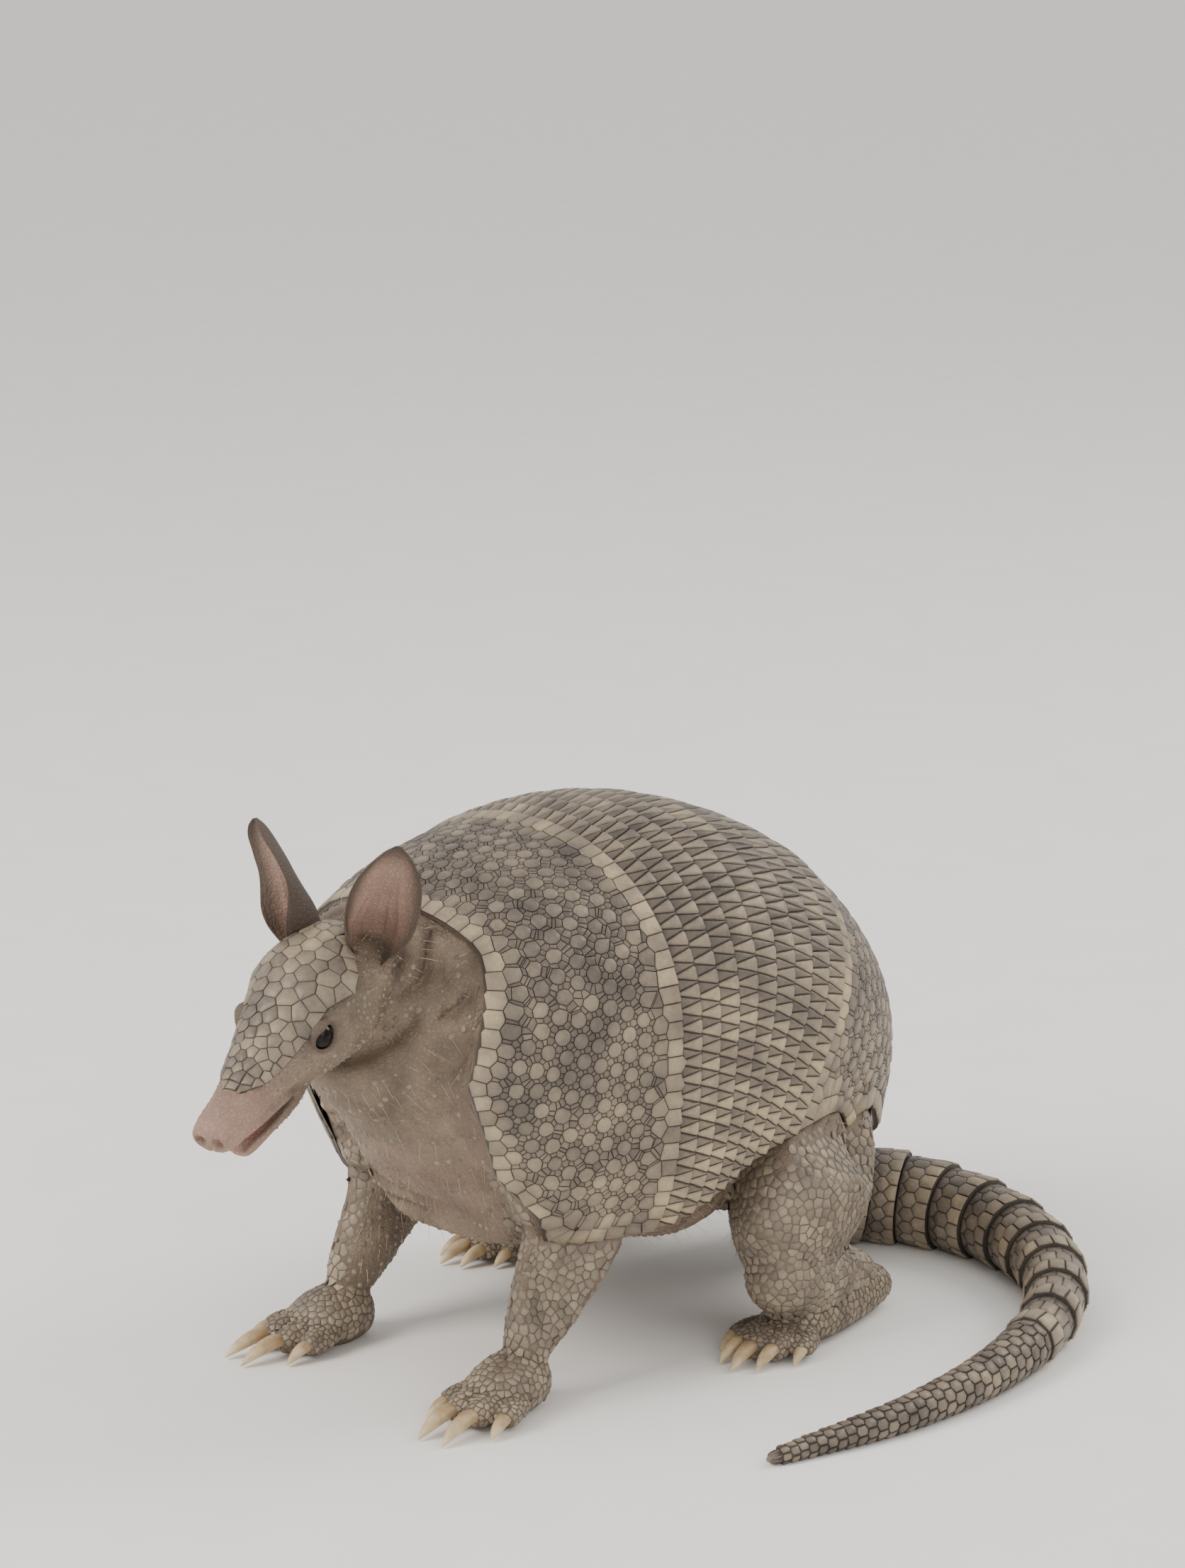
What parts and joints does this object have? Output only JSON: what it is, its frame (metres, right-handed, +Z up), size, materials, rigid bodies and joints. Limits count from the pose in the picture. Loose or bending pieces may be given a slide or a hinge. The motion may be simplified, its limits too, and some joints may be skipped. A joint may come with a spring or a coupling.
{
  "type": "nine-banded armadillo model",
  "caption": "Life-size still model of a nine-banded armadillo sitting on its haunches, forelegs straight, mouth a little open, tail laid round its left side.",
  "frame": {"origin": "on the floor, under the middle of the model's box", "axes": "+Z up, the head towards -Y, the animal's left at +X"},
  "size_m": [0.2534, 0.374, 0.2127],
  "materials": {
    "skin": "matt wrinkled skin",
    "shell": "worn horny scutes over bone",
    "ear_skin": "thin pebbled skin",
    "eye": "wet",
    "tongue": "moist",
    "claw": "worn horn"
  },
  "bodies": {
    "root": {"trunk": "skin", "head": "skin", "lower_jaw": "skin", "neck": "skin", "foreleg_left": "skin", "foreleg_right": "skin", "forefoot_left": "skin", "forefoot_right": "skin", "hindleg_left": "skin", "hindleg_right": "skin", "hindfoot_left": "skin", "hindfoot_right": "skin", "scapular_shield": "shell", "pelvic_shield": "shell", "band_1": "shell", "band_2": "shell", "band_3": "shell", "band_4": "shell", "band_5": "shell", "band_6": "shell", "band_7": "shell", "band_8": "shell", "band_9": "shell", "head_shield": "shell", "tail_ring_01": "shell", "tail_ring_02": "shell", "tail_ring_03": "shell", "tail_ring_04": "shell", "tail_ring_05": "shell", "tail_ring_06": "shell", "tail_ring_07": "shell", "tail_ring_08": "shell", "tail_ring_09": "shell", "tail_ring_10": "shell", "tail_ring_11": "shell", "tail_ring_12": "shell", "tail_tip": "shell", "ear_left": "ear_skin", "ear_right": "ear_skin", "eye_left": "eye", "eye_right": "eye", "tongue": "tongue", "foreclaw_inner_left": "claw", "foreclaw_inner_right": "claw", "foreclaw_second_left": "claw", "foreclaw_second_right": "claw", "foreclaw_third_left": "claw", "foreclaw_third_right": "claw", "foreclaw_outer_left": "claw", "foreclaw_outer_right": "claw", "hindclaw_first_left": "claw", "hindclaw_first_right": "claw", "hindclaw_second_left": "claw", "hindclaw_second_right": "claw", "hindclaw_third_left": "claw", "hindclaw_third_right": "claw", "hindclaw_fourth_left": "claw", "hindclaw_fourth_right": "claw", "hindclaw_fifth_left": "claw", "hindclaw_fifth_right": "claw"}
  },
  "joints": []
}
